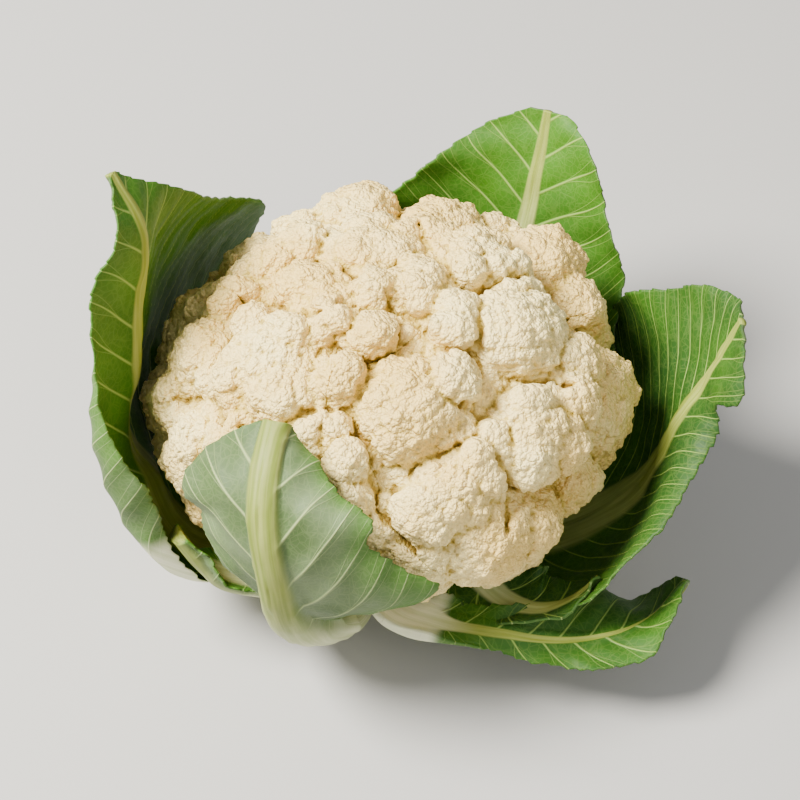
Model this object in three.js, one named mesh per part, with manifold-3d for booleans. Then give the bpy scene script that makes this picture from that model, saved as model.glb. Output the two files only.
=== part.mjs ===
// A whole cauliflower: a white head of florets on its cut stalk, held in trimmed leaves.
// Millimetres, +Z up. The origin is the centre of the stalk's cut face, and -Y is the front.
import * as THREE from 'three';
import { ConvexHull } from 'three/addons/math/ConvexHull.js';
import Module from 'manifold-3d';

const wasm = await Module();
wasm.setup();

// Driving dimensions of the head: its middle and how far its smooth outside reaches from there.
const HEAD = { middle: new THREE.Vector3(-2, 0, 68), side: 85, depth: 79, top: 64, below: 34 };
const CORE_SHARE = 0.87;
const UNDERSIDE_SHARE = 0.97;
const UNDERSIDE_FROM = -24;
const BRANCHES = 13;
const BRANCH_RELIEF = 0.035;

// Lumps and dips of the smooth outside: azimuth and elevation in degrees about the middle of the
// head, height as a share of the reach there, and width in degrees.
const LUMPS = [[37, 22, 0.07, 18], [98, 29, 0.04, 16], [150, 26, -0.05, 16], [337, -12, -0.08, 13]];

// Florets that show from the front: azimuth and elevation in degrees about the middle of the head,
// radius in mm, and how far out the floret stands as a share of the smooth outside.
const FLORETS = [
  [98, 29, 20, 1.03],
  [132, 46, 18, 1.0],
  [73, 29, 16, 1.0],
  [150, 32, 18, 0.99],
  [164, 24, 16, 0.99],
  [191, 14, 15, 1.0],
  [200, 32, 17, 1.0],
  [224, 41, 17, 1.0],
  [218, 22, 15, 0.98],
  [258, 71, 11, 1.01],
  [281, 45, 21, 1.02],
  [304, 52, 12, 1.0],
  [350, 45, 20, 1.03],
  [37, 20, 18, 1.02],
  [43, 41, 13, 0.97],
  [1, 3, 21, 1.02],
  [342, -5, 16, 1.0],
  [299, 2, 24, 1.02],
  [317, 22, 14, 1.0],
  [282, 17, 15, 1.0],
  [311, 0, 14, 1.0],
  [257, 32, 11, 0.98],
  [265, 12, 11, 0.95],
  [204, 68, 13, 1.0],
  [202, 56, 13, 1.0],
  [144, 85, 12, 1.0],
  [4, 79, 11, 1.0],
  [244, 54, 11, 0.99],
  [344, 66, 11, 1.0],
  [189, 46, 11, 1.0],
  [245, 37, 11, 0.98],
  [240, 18, 15, 0.95],
  [328, 65, 9, 1],
  [325, 33, 9, 0.98],
];

// Places between florets that stay open down to the core: azimuth, elevation and radius in degrees.
const CREVICES = [
  [268, 28, 4],
  [308, 42, 3],
  [8, 36, 3],
  [8, 24, 4],
  [179, 20, 4],
];

// The rest of the head is filled by a golden-angle spiral of florets between these radii.
const FILL = { tries: 260, lowest: -12, smallest: 12, largest: 19, spacing: 0.7, reach: 0.99 };

// Each floret carries smaller knobs over its outer cap.
const KNOB = {
  share: 0.44, smallest: 6.8, largest: 8.8, cap: 78, spacing: 2.9, stand: 0.34, least: 0.85, vary: 0.3,
};

const GOLDEN_ANGLE = Math.PI * (3 - Math.sqrt(5));

// The stalk's profile, radius and height, from its cut face up into the head.
const STALK = [[0, 0], [22, 0], [24, 2], [25.5, 9], [27, 20], [27, 32], [24, 36], [0, 36]];
const STALK_SIDES = 40;
const GAP = 0.3;
const LEAF_GAP = 0.7;

// Leaves. A leaf follows its midrib from the stalk to the tip through points given as azimuth in
// degrees, reach from the axis and height. Along it run the half-widths left (towards growing
// azimuth) and right of the midrib, and the rib's half-width and depth. lean, cup and roll are
// angles of the blade's section on the left and the right side: how it starts, how it bends over
// its whole width, and how it bends further towards its margin. ruffle is the height, number and
// phase of the waves along the margins. rows and columns are its facets.
const RIB = [15, 14, 12, 9, 6, 4, 3, 2.2, 1.6];
const RIB_DEPTH = [10, 10, 9, 7, 5, 3.5, 2.5, 1.8, 1.2];
const NONE = [[0], [0]];
const LARGE = { rows: 18, columns: 5 };
const SMALL = { rows: 10, columns: 4 };
const LEAVES = [
  {
    name: 'leaf_front', ...LARGE, rows: 26,
    path: [[244, 18, 20], [244, 44, 20], [244.5, 61, 26], [245.5, 79, 48], [246, 90, 82],
      [242.5, 85, 107], [235.5, 63, 121]],
    left: [13, 13, 13, 13, 13, 13, 13, 14, 24, 52, 42, 33, 36, 27, 17, 6],
    right: [15, 16, 16, 16, 15, 15, 18, 28, 31, 32, 30, 8],
    lean: NONE, cup: [[25, 35, 50, 50], [25, 25, 30, 30]], roll: NONE, ruffle: [2, 3, 0.1],
    rib: [15, 16, 17, 16, 11, 7.5, 6, 5.5, 5, 4.5],
    depth: [10, 11, 12, 12, 10, 7, 5, 4, 3.5, 3],
  },
  {
    name: 'leaf_left', ...LARGE,
    path: [[205, 18, 25], [205, 48, 20], [200, 75, 31], [190, 84, 66], [182, 82, 114], [177, 78, 146],
      [172, 88, 165]],
    left: [14, 15, 17, 30, 46, 48, 30, 22, 12, 3],
    right: [14, 16, 24, 42, 74, 114, 86, 45, 20, 3],
    lean: [[0, -30, -45, -40, -20], [0]], cup: [[30, 50, 40, 10, 0], [25, 40, 50, 30]],
    roll: [[0, 60, 130, 0, 0], [0]], ruffle: [3, 2, 0.1],
    rib: RIB, depth: RIB_DEPTH,
  },
  {
    name: 'leaf_right', ...LARGE,
    path: [[349, 18, 14], [347, 54, 12], [351, 84, 36], [356, 97, 68], [358, 106, 90], [359, 113, 112]],
    left: [16, 18, 32, 56, 70, 66, 53, 42, 30, 12],
    right: [16, 18, 37, 58, 56, 40, 25, 18, 27, 16],
    lean: NONE, cup: [[25, 40, 45, 20], [25, 30, 20, 0]], roll: [[0], [0, 0, -60, -60]],
    ruffle: [3.5, 2, 0.6],
    rib: RIB, depth: RIB_DEPTH,
  },
  {
    name: 'leaf_low_right', ...SMALL, rows: 16,
    path: [[270, 18, 35], [268, 42, 32], [271, 59, 34], [284, 69, 34], [298, 79, 32], [312, 92, 27],
      [323, 104, 28], [333, 110, 36]],
    left: [12, 12, 13, 15, 14, 12, 12, 17, 28, 23, 8],
    right: [12, 11, 9, 7.5, 6.5, 6, 8, 12, 16, 13, 5],
    lean: NONE, cup: [[25, 20, 0, 0], [25, 20, 0, 0]], roll: NONE, ruffle: [2, 3, 0.2],
    rib: [12, 11, 9, 7.5, 6, 5, 4, 3, 2.4, 2, 1.6],
    depth: [8, 8, 8, 7, 6, 5, 3.5, 2.5, 1.8, 1.5, 1.2],
  },
  {
    name: 'leaf_back_right', ...LARGE,
    path: [[62, 18, 16], [62, 54, 11], [62, 84, 32], [60, 92, 62], [60, 102, 91], [61, 112, 111]],
    left: [16, 20, 38, 56, 66, 62, 52, 39, 26, 9],
    right: [16, 20, 34, 50, 56, 54, 47, 36, 25, 9],
    lean: NONE, cup: [[25, 40, 45, 30], [25, 40, 35, 20]], roll: NONE, ruffle: [4, 2.5, 0.3],
    rib: RIB, depth: RIB_DEPTH,
  },
  {
    name: 'leaf_inner_left', ...SMALL,
    path: [[228, 18, 40], [227, 44, 33], [225, 61, 30], [221, 74, 36], [217, 81, 47], [214, 83, 58]],
    left: [9, 10, 11, 12, 12, 12, 12, 10, 6],
    right: [9, 10, 11, 12, 12, 12, 12, 10, 6],
    lean: NONE, cup: [[25, 20, 20, 20], [25, 20, 20, 20]], roll: NONE, ruffle: [1.5, 3, 0.5],
    rib: [9, 10, 10, 9, 8, 7, 6, 6, 5],
    depth: [6, 7, 7, 6, 5, 4, 3, 3, 3],
  },
  {
    name: 'leaf_inner_right', ...SMALL,
    path: [[302, 18, 40], [302, 44, 35], [303, 63, 32], [307, 77, 35], [314, 84, 38], [322, 87, 42]],
    left: [9, 10, 12, 15, 18, 20, 18, 14, 6],
    right: [9, 11, 15, 15, 12, 10, 10, 9, 5],
    lean: NONE, cup: [[25, 20, 20, 20], [25, 20, 20, 20]], roll: NONE, ruffle: [1.5, 3, 0.5],
    rib: [9, 8, 6.5, 5, 4, 3, 2.4, 2, 1.6],
    depth: [6, 6, 5.5, 5, 4, 3, 2, 1.8, 1.2],
  },
  {
    name: 'leaf_back', ...SMALL,
    path: [[113, 18, 14], [113, 50, 11], [113, 76, 22], [112, 88, 44], [111, 92, 62]],
    left: [16, 18, 24, 34, 38, 34, 20],
    right: [16, 18, 22, 30, 34, 30, 18],
    lean: NONE, cup: [[25, 35, 40, 40], [25, 35, 40, 40]], roll: NONE, ruffle: [3, 3, 0.4],
    rib: [15, 15, 14, 12, 9, 7, 6],
    depth: [10, 10, 9, 7, 6, 5, 4],
  },
  {
    name: 'leaf_stub_right', ...SMALL,
    path: [[22, 18, 38], [22, 42, 33], [22, 58, 29], [22, 70, 33], [22, 78, 43]],
    left: [10, 11, 12, 13, 13, 8],
    right: [10, 11, 12, 13, 13, 8],
    lean: NONE, cup: [[25, 20, 20, 20], [25, 20, 20, 20]], roll: NONE, ruffle: [1.5, 3, 0.2],
    rib: [10, 10, 9, 8, 6, 5],
    depth: [6, 7, 7, 6, 5, 4],
  },
  {
    name: 'leaf_stub_back_left', ...SMALL,
    path: [[162, 18, 14], [162, 48, 11], [161, 72, 17], [160, 85, 32], [160, 92, 46]],
    left: [14, 15, 17, 19, 19, 12],
    right: [14, 15, 17, 20, 20, 13],
    lean: NONE, cup: [[25, 30, 30, 30], [25, 30, 30, 30]], roll: NONE, ruffle: [1.5, 3, 0.8],
    rib: [14, 14, 12, 10, 8, 6],
    depth: [9, 9, 8, 7, 6, 5],
  },
];
const BLADE = 1.4;
const RIB_INSIDE = 0.12;
const RIB_OUTSIDE = 0.88;
const RIB_SPAN = 0.75;
const CLEAR = 2;
const BLEND = 4;
const BEND_STEPS = 24;
const ROLL_START = 0.45;
const TANGENT_STEP = 0.01;
const SHOULDER = 0.6;

// Waves along a leaf's margins: where they start, how soon they reach full height, and a long and a
// short wave with their rise across the blade, height, number and shift between the two sides.
const RUFFLE_START = 0.15;
const RUFFLE_GROWTH = 0.35;
const LONG_WAVE = { rise: 2.2, height: 1, count: 1, shift: 1.1 };
const SHORT_WAVE = { rise: 3, height: 0.4, count: 2.7, shift: 2 };

const MATERIALS = {
  curd: { color: 0xeee6cf, roughness: 0.75, metalness: 0 },
  stalk: { color: 0xe4e6c4, roughness: 0.6, metalness: 0 },
  leaf: { color: 0x5f8f3c, roughness: 0.55, metalness: 0 },
};

const radians = THREE.MathUtils.degToRad;
const clamp = THREE.MathUtils.clamp;

function hash(a, b) {
  const wave = Math.sin(a * 127.1 + b * 311.7) * 43758.5453;
  return wave - Math.floor(wave);
}

function direction(azimuth, elevation) {
  const flat = Math.cos(radians(elevation));
  return new THREE.Vector3(flat * Math.cos(radians(azimuth)), flat * Math.sin(radians(azimuth)),
    Math.sin(radians(elevation)));
}

const SWELLS = LUMPS.map(([azimuth, elevation, share, width]) => {
  return { d: direction(azimuth, elevation), share, width: radians(width) };
});

// Distance from the middle of the head to its smooth outside.
function outside(d) {
  const height = d.z > 0 ? HEAD.top : HEAD.below;
  let swell = 1;
  for (const lump of SWELLS) swell += lump.share * Math.exp(-((d.angleTo(lump.d) / lump.width) ** 2));
  return swell / Math.hypot(d.x / HEAD.side, d.y / HEAD.depth, d.z / height);
}

// Smooth curve through evenly spaced values.
function along(values, t) {
  const last = values.length - 1;
  if (last === 0) return values[0];
  const x = clamp(t, 0, 1) * last;
  const i = Math.min(Math.floor(x), last - 1);
  const f = x - i;
  const a = values[Math.max(i - 1, 0)];
  const b = values[i];
  const c = values[i + 1];
  const d = values[Math.min(i + 2, last)];
  return 0.5 * (2 * b + (c - a) * f + (2 * a - 5 * b + 4 * c - d) * f ** 2
    + (3 * b - a - 3 * c + d) * f ** 3);
}

function floret(azimuth, elevation, radius, reach) {
  const d = direction(azimuth, elevation);
  const knob = clamp(KNOB.share * radius, KNOB.smallest, KNOB.largest);
  return { d, radius: radius - KNOB.stand * knob, knob, at: outside(d) * reach - radius };
}

function allFlorets() {
  const florets = FLORETS.map((row) => floret(...row));
  const open = CREVICES.map(([azimuth, elevation, size]) => {
    return { d: direction(azimuth, elevation), size: radians(size) };
  });
  for (let i = 0; i < FILL.tries; i += 1) {
    const z = 1 - (i + 0.5) * (1 - Math.sin(radians(FILL.lowest))) / FILL.tries;
    const azimuth = THREE.MathUtils.radToDeg(i * GOLDEN_ANGLE);
    const radius = FILL.smallest + (FILL.largest - FILL.smallest) * hash(i, 1);
    const next = floret(azimuth, THREE.MathUtils.radToDeg(Math.asin(z)), radius, FILL.reach);
    const free = florets.every((f) => {
      const apart = f.d.angleTo(next.d) * outside(next.d);
      return apart > FILL.spacing * (f.radius + next.radius);
    });
    const shoulder = 0.5 * radius / outside(next.d);
    if (free && open.every((c) => c.d.angleTo(next.d) > c.size + shoulder)) florets.push(next);
  }
  return florets;
}

// Distance to the far side of a ball along a ray from the middle, or 0 where it misses.
function ballReach(ball, d) {
  const b = ball.centre.dot(d);
  const c = ball.centre.lengthSq() - ball.radius ** 2;
  const inside = b * b - c;
  return inside > 0 ? b + Math.sqrt(inside) : 0;
}

// Every floret is a ball with smaller balls over its outer cap.
function headBalls() {
  const florets = allFlorets();
  const balls = [];
  florets.forEach((f, n) => {
    const centre = f.d.clone().multiplyScalar(f.at);
    balls.push({ centre, radius: f.radius, base: true });
    const cap = 1 - Math.cos(radians(KNOB.cap));
    const count = Math.round(2 * Math.PI * f.radius ** 2 * cap / (KNOB.spacing * f.knob ** 2));
    const turn = new THREE.Quaternion().setFromUnitVectors(new THREE.Vector3(0, 0, 1), f.d);
    for (let k = 0; k < count; k += 1) {
      const z = 1 - cap * (k + 0.5) / count;
      const flat = Math.sqrt(1 - z * z);
      const spin = k * GOLDEN_ANGLE + n;
      const out = new THREE.Vector3(flat * Math.cos(spin), flat * Math.sin(spin), z).applyQuaternion(turn);
      const radius = f.knob * (KNOB.least + KNOB.vary * hash(n, k + 2));
      const at = centre.clone().addScaledVector(out, f.radius + KNOB.stand * f.knob - radius);
      balls.push({ centre: at, radius, base: false });
    }
  });
  return balls;
}

function headCore(d) {
  const elevation = THREE.MathUtils.radToDeg(Math.asin(clamp(d.z, -1, 1)));
  if (elevation > UNDERSIDE_FROM) return outside(d) * CORE_SHARE;
  const wave = 1 + BRANCH_RELIEF * (Math.cos(BRANCHES * Math.atan2(d.y, d.x)) - 1);
  return outside(d) * UNDERSIDE_SHARE * wave;
}

function headSurface(balls) {
  return (d) => {
    let reach = headCore(d);
    let top = -1;
    balls.forEach((ball, i) => {
      const r = ballReach(ball, d);
      if (r > reach) {
        reach = r;
        top = i;
      }
    });
    return { reach, top };
  };
}

// Facets between directions on the unit ball.
function facetsBetween(directions) {
  const hull = new ConvexHull().setFromPoints(directions);
  const index = new Map(directions.map((d, i) => [d, i]));
  const facets = [];
  for (const face of hull.faces) {
    const corners = [];
    let edge = face.edge;
    do {
      corners.push(index.get(edge.head().point));
      edge = edge.next;
    } while (edge !== face.edge);
    for (let k = 1; k < corners.length - 1; k += 1) facets.push([corners[0], corners[k], corners[k + 1]]);
  }
  return facets;
}

// Knob tops, the creases round them and a ring on each knob's shoulder carry the facets, so that
// every knob keeps its round top and every crease stays sharp.
const RING = 0.52;
const UNDERSIDE_POINTS = 110;
const LEAST_ANGLE = 0.03;
const CREASE_STEPS = 12;

function headDirections(balls, surface) {
  const tops = [];
  balls.forEach((ball, i) => {
    const d = ball.centre.clone().normalize();
    if (ball.base) return;
    const out = surface(d);
    if (out.top === i) tops.push(d);
  });
  const spread = tops.length + UNDERSIDE_POINTS;
  const under = [];
  const lowest = Math.sin(radians(UNDERSIDE_FROM));
  for (let i = 0; i < UNDERSIDE_POINTS; i += 1) {
    const z = lowest - (1 + lowest) * (i + 0.5) / UNDERSIDE_POINTS;
    const flat = Math.sqrt(1 - z * z);
    under.push(new THREE.Vector3(flat * Math.cos(i * GOLDEN_ANGLE), flat * Math.sin(i * GOLDEN_ANGLE), z));
  }
  const seeds = [...tops, ...under];
  const all = [...seeds];
  const crease = (a, b) => {
    let low = 0;
    for (let k = 1, best = Infinity; k < CREASE_STEPS; k += 1) {
      const d = a.clone().lerp(b, k / CREASE_STEPS).normalize();
      const share = surface(d).reach / outside(d);
      if (share < best) {
        best = share;
        low = k / CREASE_STEPS;
      }
    }
    return a.clone().lerp(b, low).normalize();
  };
  const edges = new Set();
  for (const [i, j, k] of facetsBetween(seeds)) {
    if (i >= tops.length && j >= tops.length && k >= tops.length) continue;
    const centre = seeds[i].clone().add(seeds[j]).add(seeds[k]).normalize();
    all.push(centre);
    for (const c of [i, j, k]) all.push(seeds[c].clone().lerp(centre, RING).normalize());
    for (const [a, b] of [[i, j], [j, k], [k, i]]) {
      const key = a < b ? a * spread + b : b * spread + a;
      if (edges.has(key)) continue;
      edges.add(key);
      all.push(crease(seeds[a], seeds[b]));
    }
  }
  const kept = [];
  for (const d of all) {
    if (kept.every((other) => other.distanceToSquared(d) > LEAST_ANGLE ** 2)) kept.push(d);
  }
  return kept;
}

function solidFrom(points, facets) {
  const vertProperties = new Float32Array(points.length * 3);
  points.forEach((p, i) => p.toArray(vertProperties, i * 3));
  const triVerts = new Uint32Array(facets.flat());
  const solid = new wasm.Manifold(new wasm.Mesh({ numProp: 3, vertProperties, triVerts }));
  if (solid.volume() > 0) return solid;
  return solidFrom(points, facets.map(([a, b, c]) => [a, c, b]));
}

function headSolid() {
  const balls = headBalls();
  const surface = headSurface(balls);
  const directions = headDirections(balls, surface);
  const points = directions.map((d) => d.clone().multiplyScalar(surface(d).reach).add(HEAD.middle));
  return solidFrom(points, facetsBetween(directions));
}

function midrib(leaf, t) {
  const [azimuth, reach, height] = [0, 1, 2].map((k) => along(leaf.path.map((p) => p[k]), t));
  return new THREE.Vector3(reach * Math.cos(radians(azimuth)), reach * Math.sin(radians(azimuth)), height);
}

// Keeps a point at least a given distance outside the head, with a soft start.
function pushOut(point, clear) {
  const d = point.clone().sub(HEAD.middle);
  const reach = d.length();
  d.normalize();
  const least = outside(d) + clear;
  const h = clamp(0.5 + 0.5 * (reach - least) / BLEND, 0, 1);
  return d.multiplyScalar(least * (1 - h) + reach * h + BLEND * h * (1 - h)).add(HEAD.middle);
}

// Height of the waves at t from stalk to tip and u across.
function ruffle(leaf, t, u) {
  const [height, waves, phase] = leaf.ruffle;
  const sign = u >= 0 ? 1 : -1;
  const wave = ({ rise, height: share, count, shift }, turn) => {
    return share * Math.abs(u) ** rise * Math.sin(2 * Math.PI * (count * waves * t + turn) + sign * shift);
  };
  const grow = clamp((t - RUFFLE_START) / RUFFLE_GROWTH, 0, 1);
  return height * grow * (wave(LONG_WAVE, phase) + wave(SHORT_WAVE, 2 * phase));
}

// A point on the middle of the blade, at t from stalk to tip and u across, -1 right to 1 left.
function bladePoint(leaf, t, u, clear) {
  const side = u >= 0 ? 0 : 1;
  const sign = u >= 0 ? 1 : -1;
  const ahead = midrib(leaf, Math.min(t + TANGENT_STEP, 1));
  const forward = ahead.sub(midrib(leaf, Math.max(t - TANGENT_STEP, 0))).normalize();
  const azimuth = radians(along(leaf.path.map((p) => p[0]), t));
  const sideways = new THREE.Vector3(-Math.sin(azimuth), Math.cos(azimuth), 0);
  const inward = forward.clone().cross(sideways).normalize();
  const across = inward.clone().cross(forward);
  const width = along(side === 0 ? leaf.left : leaf.right, t);
  const lean = radians(along(leaf.lean[side], t));
  const cup = radians(along(leaf.cup[side], t));
  const roll = radians(along(leaf.roll[side], t));
  const a = Math.abs(u);
  let x = 0;
  let y = 0;
  for (let k = 0; k < BEND_STEPS; k += 1) {
    const f = (k + 0.5) / BEND_STEPS * a;
    const angle = lean + cup * f + roll * clamp((f - ROLL_START) / (1 - ROLL_START), 0, 1) ** 1.5;
    x += Math.cos(angle) * a / BEND_STEPS;
    y += Math.sin(angle) * a / BEND_STEPS;
  }
  const point = midrib(leaf, t).addScaledVector(across, sign * x * width)
    .addScaledVector(inward, y * width + ruffle(leaf, t, u));
  return { point: pushOut(point, clear), inward };
}

// Columns lie at the midrib, on the rib's shoulder, at its edge, and evenly out to the margin.
function columnPlaces(leaf, t, columns) {
  const places = [];
  for (const side of [-1, 1]) {
    const share = Math.min(along(leaf.rib, t) / along(side > 0 ? leaf.left : leaf.right, t), RIB_SPAN);
    const half = [SHOULDER * share];
    for (let k = 0; k <= columns - 2; k += 1) half.push(share + (1 - share) * k / (columns - 2));
    places.push(half.map((u) => side * u));
  }
  return [...places[0].reverse(), 0, ...places[1]];
}

function leafSolid(leaf, grow) {
  const { rows, columns } = leaf;
  const across = 2 * columns + 1;
  const centres = [];
  const inwards = [];
  const thickness = [];
  for (let i = 0; i <= rows; i += 1) {
    const t = i / rows;
    for (const u of columnPlaces(leaf, t, columns)) {
      const width = along(u >= 0 ? leaf.left : leaf.right, t);
      const rib = Math.sqrt(clamp(1 - (u * width / along(leaf.rib, t)) ** 2, 0, 1)) * along(leaf.depth, t);
      const inner = BLADE / 2 + RIB_INSIDE * rib;
      const margin = Math.abs(u) > 0.999 ? 1 + grow / width : 1;
      const { point, inward } = bladePoint(leaf, t, u * margin, CLEAR + inner);
      centres.push(point);
      inwards.push(inward);
      thickness.push([inner + grow, BLADE / 2 + RIB_OUTSIDE * rib + grow]);
    }
  }
  const at = (i, j) => i * across + j;
  const inner = [];
  const outer = [];
  for (let i = 0; i <= rows; i += 1) {
    for (let j = 0; j < across; j += 1) {
      const n = at(i, j);
      const up = centres[at(Math.min(i + 1, rows), j)].clone().sub(centres[at(Math.max(i - 1, 0), j)]);
      const over = centres[at(i, Math.min(j + 1, across - 1))].clone();
      const normal = over.sub(centres[at(i, Math.max(j - 1, 0))]).cross(up).normalize();
      inner.push(centres[n].clone().addScaledVector(normal, -thickness[n][0]));
      outer.push(centres[n].clone().addScaledVector(normal, thickness[n][1]));
    }
  }
  const total = inner.length;
  const facets = [];
  for (let i = 0; i < rows; i += 1) {
    for (let j = 0; j < across - 1; j += 1) {
      const [a, b, c, d] = [at(i, j), at(i + 1, j), at(i + 1, j + 1), at(i, j + 1)];
      facets.push([a, b, c], [a, c, d]);
      facets.push([total + a, total + c, total + b], [total + a, total + d, total + c]);
    }
  }
  const rim = [];
  for (let j = 0; j < across - 1; j += 1) rim.push(at(0, j));
  for (let i = 0; i < rows; i += 1) rim.push(at(i, across - 1));
  for (let j = across - 1; j > 0; j -= 1) rim.push(at(rows, j));
  for (let i = rows; i > 0; i -= 1) rim.push(at(i, 0));
  rim.forEach((a, k) => {
    const b = rim[(k + 1) % rim.length];
    facets.push([a, b, total + b], [a, total + b, total + a]);
  });
  return solidFrom([...inner, ...outer], facets);
}

function stalkSolid(grow) {
  const profile = STALK.map(([r, z]) => new THREE.Vector2(r > 0 ? r + grow : 0, z > 0 ? z + grow : z - grow));
  const points = [new THREE.Vector3(0, 0, profile[0].y)];
  const rings = profile.slice(1, -1);
  for (const p of rings) {
    for (let k = 0; k < STALK_SIDES; k += 1) {
      const angle = 2 * Math.PI * k / STALK_SIDES;
      points.push(new THREE.Vector3(p.x * Math.cos(angle), p.x * Math.sin(angle), p.y));
    }
  }
  points.push(new THREE.Vector3(0, 0, profile.at(-1).y));
  const at = (ring, k) => 1 + ring * STALK_SIDES + (k % STALK_SIDES);
  const facets = [];
  for (let k = 0; k < STALK_SIDES; k += 1) {
    facets.push([0, at(0, k + 1), at(0, k)]);
    facets.push([points.length - 1, at(rings.length - 1, k), at(rings.length - 1, k + 1)]);
    for (let ring = 0; ring < rings.length - 1; ring += 1) {
      facets.push([at(ring, k), at(ring, k + 1), at(ring + 1, k + 1)]);
      facets.push([at(ring, k), at(ring + 1, k + 1), at(ring + 1, k)]);
    }
  }
  return solidFrom(points, facets);
}

function largestPiece(solid) {
  return solid.decompose().reduce((a, b) => (b.volume() > a.volume() ? b : a));
}

function meshFrom(name, solid, look) {
  const { vertProperties, triVerts } = solid.getMesh();
  const geometry = new THREE.BufferGeometry();
  geometry.setAttribute('position', new THREE.BufferAttribute(vertProperties, 3));
  geometry.setIndex(new THREE.BufferAttribute(triVerts, 1));
  const mesh = new THREE.Mesh(geometry, new THREE.MeshStandardMaterial(look));
  mesh.name = name;
  return mesh;
}

const group = new THREE.Group();
const stalkRoom = stalkSolid(GAP);
group.add(meshFrom('stalk', stalkSolid(0), MATERIALS.stalk));
group.add(meshFrom('curd', headSolid().subtract(stalkRoom), MATERIALS.curd));

// Each leaf is cut clear of the stalk and of the leaves before it.
let taken = stalkRoom;
for (const leaf of LEAVES) {
  const solid = largestPiece(leafSolid(leaf, 0).subtract(taken));
  group.add(meshFrom(leaf.name, solid, MATERIALS.leaf));
  taken = taken.add(leafSolid(leaf, LEAF_GAP));
}

export default group;
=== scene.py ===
"""A whole cauliflower: a knobbly cream curd on its cut stalk, wrapped in trimmed, veined leaves."""
import math

import bpy
import numpy as np
import openvdb
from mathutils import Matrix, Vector


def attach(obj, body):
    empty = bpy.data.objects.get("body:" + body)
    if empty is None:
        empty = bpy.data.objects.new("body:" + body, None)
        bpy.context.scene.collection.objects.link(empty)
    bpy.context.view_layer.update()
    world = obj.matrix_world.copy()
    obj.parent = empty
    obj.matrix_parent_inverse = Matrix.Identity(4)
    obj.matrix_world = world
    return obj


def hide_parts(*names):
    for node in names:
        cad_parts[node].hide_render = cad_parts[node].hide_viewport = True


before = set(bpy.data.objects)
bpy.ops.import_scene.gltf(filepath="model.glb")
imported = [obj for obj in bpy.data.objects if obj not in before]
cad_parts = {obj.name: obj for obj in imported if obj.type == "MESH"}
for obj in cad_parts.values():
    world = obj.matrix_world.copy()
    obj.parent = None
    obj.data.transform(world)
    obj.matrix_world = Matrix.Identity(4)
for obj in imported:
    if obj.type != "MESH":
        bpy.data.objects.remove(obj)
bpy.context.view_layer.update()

MM = 0.001
GOLDEN_ANGLE = math.pi * (3 - math.sqrt(5))

# Numbers that scatter the noise: one for each of a pair, the spread, and the step from row to row.
HASH_FIRST, HASH_SECOND, HASH_SPREAD = 127.1, 311.7, 43758.5453
ROW_SEED = 3.7

# The head's middle and smooth outside, in millimetres, as its solid has them.
MIDDLE = np.array([-2.0, 0.0, 68.0])
SIDE, DEPTH, TOP, BELOW = 85.0, 79.0, 64.0, 34.0

# Lumps and dips of the head's outside: azimuth, elevation, share of the reach, width in degrees.
LUMPS = [(37, 22, 0.07, 18), (98, 29, 0.04, 16), (150, 26, -0.05, 16), (337, -12, -0.08, 13)]

# Florets that show from the front: azimuth, elevation, radius, and how far out each one stands.
FLORETS = [
    (98, 29, 20, 1.03), (132, 46, 18, 1.0), (73, 29, 16, 1.0), (150, 32, 18, 0.99),
    (164, 24, 16, 0.99), (191, 14, 15, 1.0), (200, 32, 17, 1.0), (224, 41, 17, 1.0),
    (218, 22, 15, 0.98), (258, 71, 11, 1.01), (281, 45, 21, 1.02), (304, 52, 12, 1.0),
    (350, 45, 20, 1.03), (37, 20, 18, 1.02), (43, 41, 13, 0.97), (1, 3, 21, 1.02),
    (342, -5, 16, 1.0), (299, 2, 24, 1.02), (317, 22, 14, 1.0), (282, 17, 15, 1.0),
    (311, 0, 14, 1.0), (257, 32, 11, 0.98), (265, 12, 11, 0.95), (204, 68, 13, 1.0),
    (202, 56, 13, 1.0), (144, 85, 12, 1.0), (4, 79, 11, 1.0), (244, 54, 11, 0.99),
    (344, 66, 11, 1.0), (189, 46, 11, 1.0), (245, 37, 11, 0.98), (240, 18, 15, 0.95),
    (328, 65, 9, 1.0), (325, 33, 9, 0.98),
]

# Places that stay open: azimuth, elevation and half-width in degrees. Then the spiral of other florets.
CREVICES = [(268, 28, 4), (308, 42, 3), (8, 36, 3), (8, 24, 4), (179, 20, 4)]
FILL = dict(tries=260, lowest=-12, smallest=12, largest=19, spacing=0.7, reach=0.99, shoulder=0.5)

# Radius of the knobs of a floret's solid, as a share of its own, least and most, and the share of it
# that stands out of the floret's own ball.
KNOB_SHARE, KNOB_LEAST, KNOB_MOST, KNOB_STAND = 0.44, 6.8, 8.8, 0.34

# Large masses that the florets belong to: azimuth, elevation and radius, then a spiral of others. A
# mass's ball is smaller than that radius by a little, so that the florets stand out of it.
MASSES = [
    (282, 45, 23), (356, 39, 21), (310, -8, 30), (357, 1, 26), (36, 21, 19), (70, 26, 26), (101, 28, 24),
    (136, 15, 22), (205, 42, 24), (163, 11, 20), (182, 3, 16), (255, 73, 11), (255, 30, 11), (29, 76, 13),
    (167, 64, 15), (334, -2, 16), (206, 14, 16),
]
MASS_FILL = dict(tries=90, lowest=-20, radius=19, spacing=0.75)
MASS_SHY = 3.0

# The curd's grid: its step, the band of distances that it keeps, its margin and its solid core.
VOXEL = 0.65
BAND = 2.4 * VOXEL
GRID_MARGIN = 6
CORE_SHARE = 0.8

# Valleys between balls fill where this share of the room round them is full, blurred over some cells.
VALLEY_FILL, VALLEY_SLOPE, VALLEY_CELLS = 0.62, 16, 5

# How the surface is looked for along a line: first share of the head's reach, step, outward pull.
SEEK_FROM, SEEK_STEP, SEEK_PULL = 1.14, 0.01, 0.3
LEAST_CHANGE = 1e-3

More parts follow.
